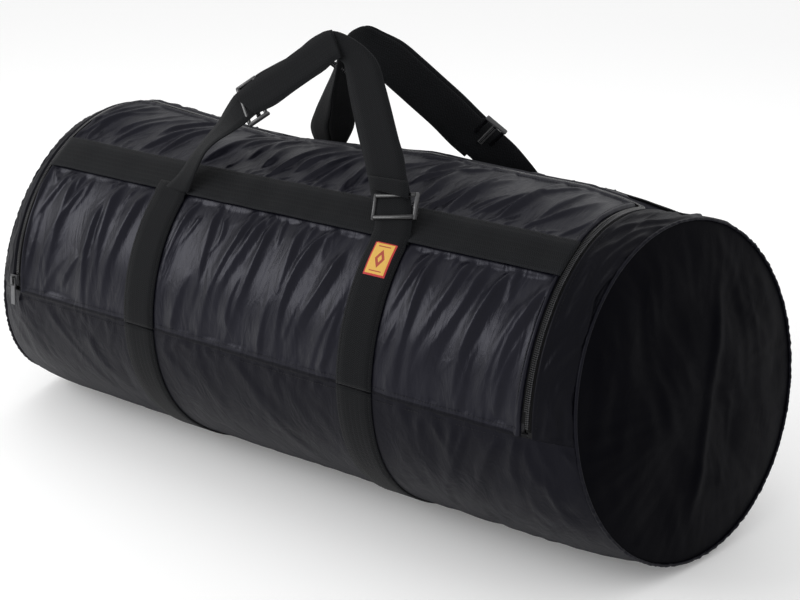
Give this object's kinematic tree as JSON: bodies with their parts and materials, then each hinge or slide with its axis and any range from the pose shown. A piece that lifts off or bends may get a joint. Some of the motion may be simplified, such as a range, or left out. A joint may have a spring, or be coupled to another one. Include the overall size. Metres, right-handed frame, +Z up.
{
  "type": "telescope carry case",
  "caption": "Long soft barrel bag for a telescope: zipped lid flap over a padded inside, webbing straps round it and a pair of standing carry handles.",
  "frame": {"origin": "middle of the flat underside, on the floor", "axes": "+X along the barrel, -Y to the front where the lid flap hinges, +Z up"},
  "size_m": [1.0728, 0.4397, 0.5739],
  "materials": {
    "shell_nylon": "crinkled coated nylon, soft sheen",
    "end_nylon": "matte woven nylon",
    "webbing": "ribbed webbing, matte",
    "lining": "plain woven lining",
    "foam": "closed-cell foam",
    "zip_tape": "woven tape",
    "zip_teeth": "moulded nylon",
    "zip_metal": "black lacquer, worn edges",
    "adjuster_plastic": "moulded, satin",
    "label": "woven label, red edge and yellow middle"
  },
  "bodies": {
    "bag_body": {"body_zip_tape": "zip_tape", "body_zip_teeth": "zip_teeth", "bottom_foam": "foam", "bottom_lining": "lining", "bottom_shell": "shell_nylon", "end_binding_left": "webbing", "end_binding_right": "webbing", "end_foam_left": "foam", "end_foam_right": "foam", "end_panel_left": "end_nylon", "end_panel_right": "end_nylon", "girth_strap_left": "webbing", "girth_strap_right": "webbing", "gusset_foam_left": "foam", "gusset_foam_right": "foam", "gusset_left": "shell_nylon", "gusset_right": "shell_nylon", "rear_band": "webbing", "rear_foam": "foam", "rear_lining": "lining", "rear_panel": "shell_nylon", "zip_stop_left": "zip_tape", "zip_stop_right": "zip_tape"},
    "lid_flap": {"lid_foam": "foam", "lid_lining": "lining", "lid_panel": "shell_nylon", "lid_strap_left": "webbing", "lid_strap_right": "webbing", "lid_zip_tape": "zip_tape", "lid_zip_teeth": "zip_teeth", "front_band": "webbing", "label_patch": "label"},
    "zip_slide_body": {"zip_slider": "zip_metal"},
    "zip_pull_body": {"zip_pull": "zip_metal"},
    "front_handle": {"front_grip": "webbing", "front_leg_left": "webbing", "front_leg_right": "webbing"},
    "rear_handle": {"rear_grip": "webbing", "rear_leg_left": "webbing", "rear_leg_right": "webbing"},
    "front_adjuster_left_body": {"front_adjuster_left": "adjuster_plastic"},
    "front_adjuster_right_body": {"front_adjuster_right": "adjuster_plastic"},
    "rear_adjuster_left_body": {"rear_adjuster_left": "adjuster_plastic"},
    "rear_adjuster_right_body": {"rear_adjuster_right": "adjuster_plastic"}
  },
  "joints": [
    {"name": "lid_fold", "type": "hinge", "parent": "bag_body", "child": "lid_flap", "pos_m": [0, -0.218, 0.204], "axis": [1, 0, 0], "range_deg": [0, 115]},
    {"name": "zip_run", "type": "hinge", "parent": "bag_body", "child": "zip_slide_body", "pos_m": [-0.4, 0, 0.204], "axis": [-1, 0, 0], "range_deg": [0, 88]},
    {"name": "zip_pull_swing", "type": "hinge", "parent": "zip_slide_body", "child": "zip_pull_body", "pos_m": [-0.4, -0.21907, 0.22132], "axis": [-1, 0, 0], "range_deg": [0, 140]},
    {"name": "front_handle_fold", "type": "hinge", "parent": "lid_flap", "child": "front_handle", "pos_m": [0, -0.14238, 0.37368], "axis": [1, 0, 0], "range_deg": [-8, 138]},
    {"name": "rear_handle_fold", "type": "hinge", "parent": "bag_body", "child": "rear_handle", "pos_m": [0, 0.14238, 0.37368], "axis": [-1, 0, 0], "range_deg": [-8, 138]},
    {"name": "front_adjuster_left_slide", "type": "slide", "parent": "front_handle", "child": "front_adjuster_left_body", "axis": [0.7538, 0.3206, 0.5736], "range_m": [0, 0.045]},
    {"name": "front_adjuster_right_slide", "type": "slide", "parent": "front_handle", "child": "front_adjuster_right_body", "axis": [-0.19, 0.479, 0.857], "range_m": [0, 0.012]},
    {"name": "rear_adjuster_left_slide", "type": "slide", "parent": "rear_handle", "child": "rear_adjuster_left_body", "axis": [0.6616, -0.3658, 0.6545], "range_m": [-0.09, 0]},
    {"name": "rear_adjuster_right_slide", "type": "slide", "parent": "rear_handle", "child": "rear_adjuster_right_body", "axis": [-0.7048, -0.3461, 0.6193], "range_m": [0, 0.08]}
  ]
}
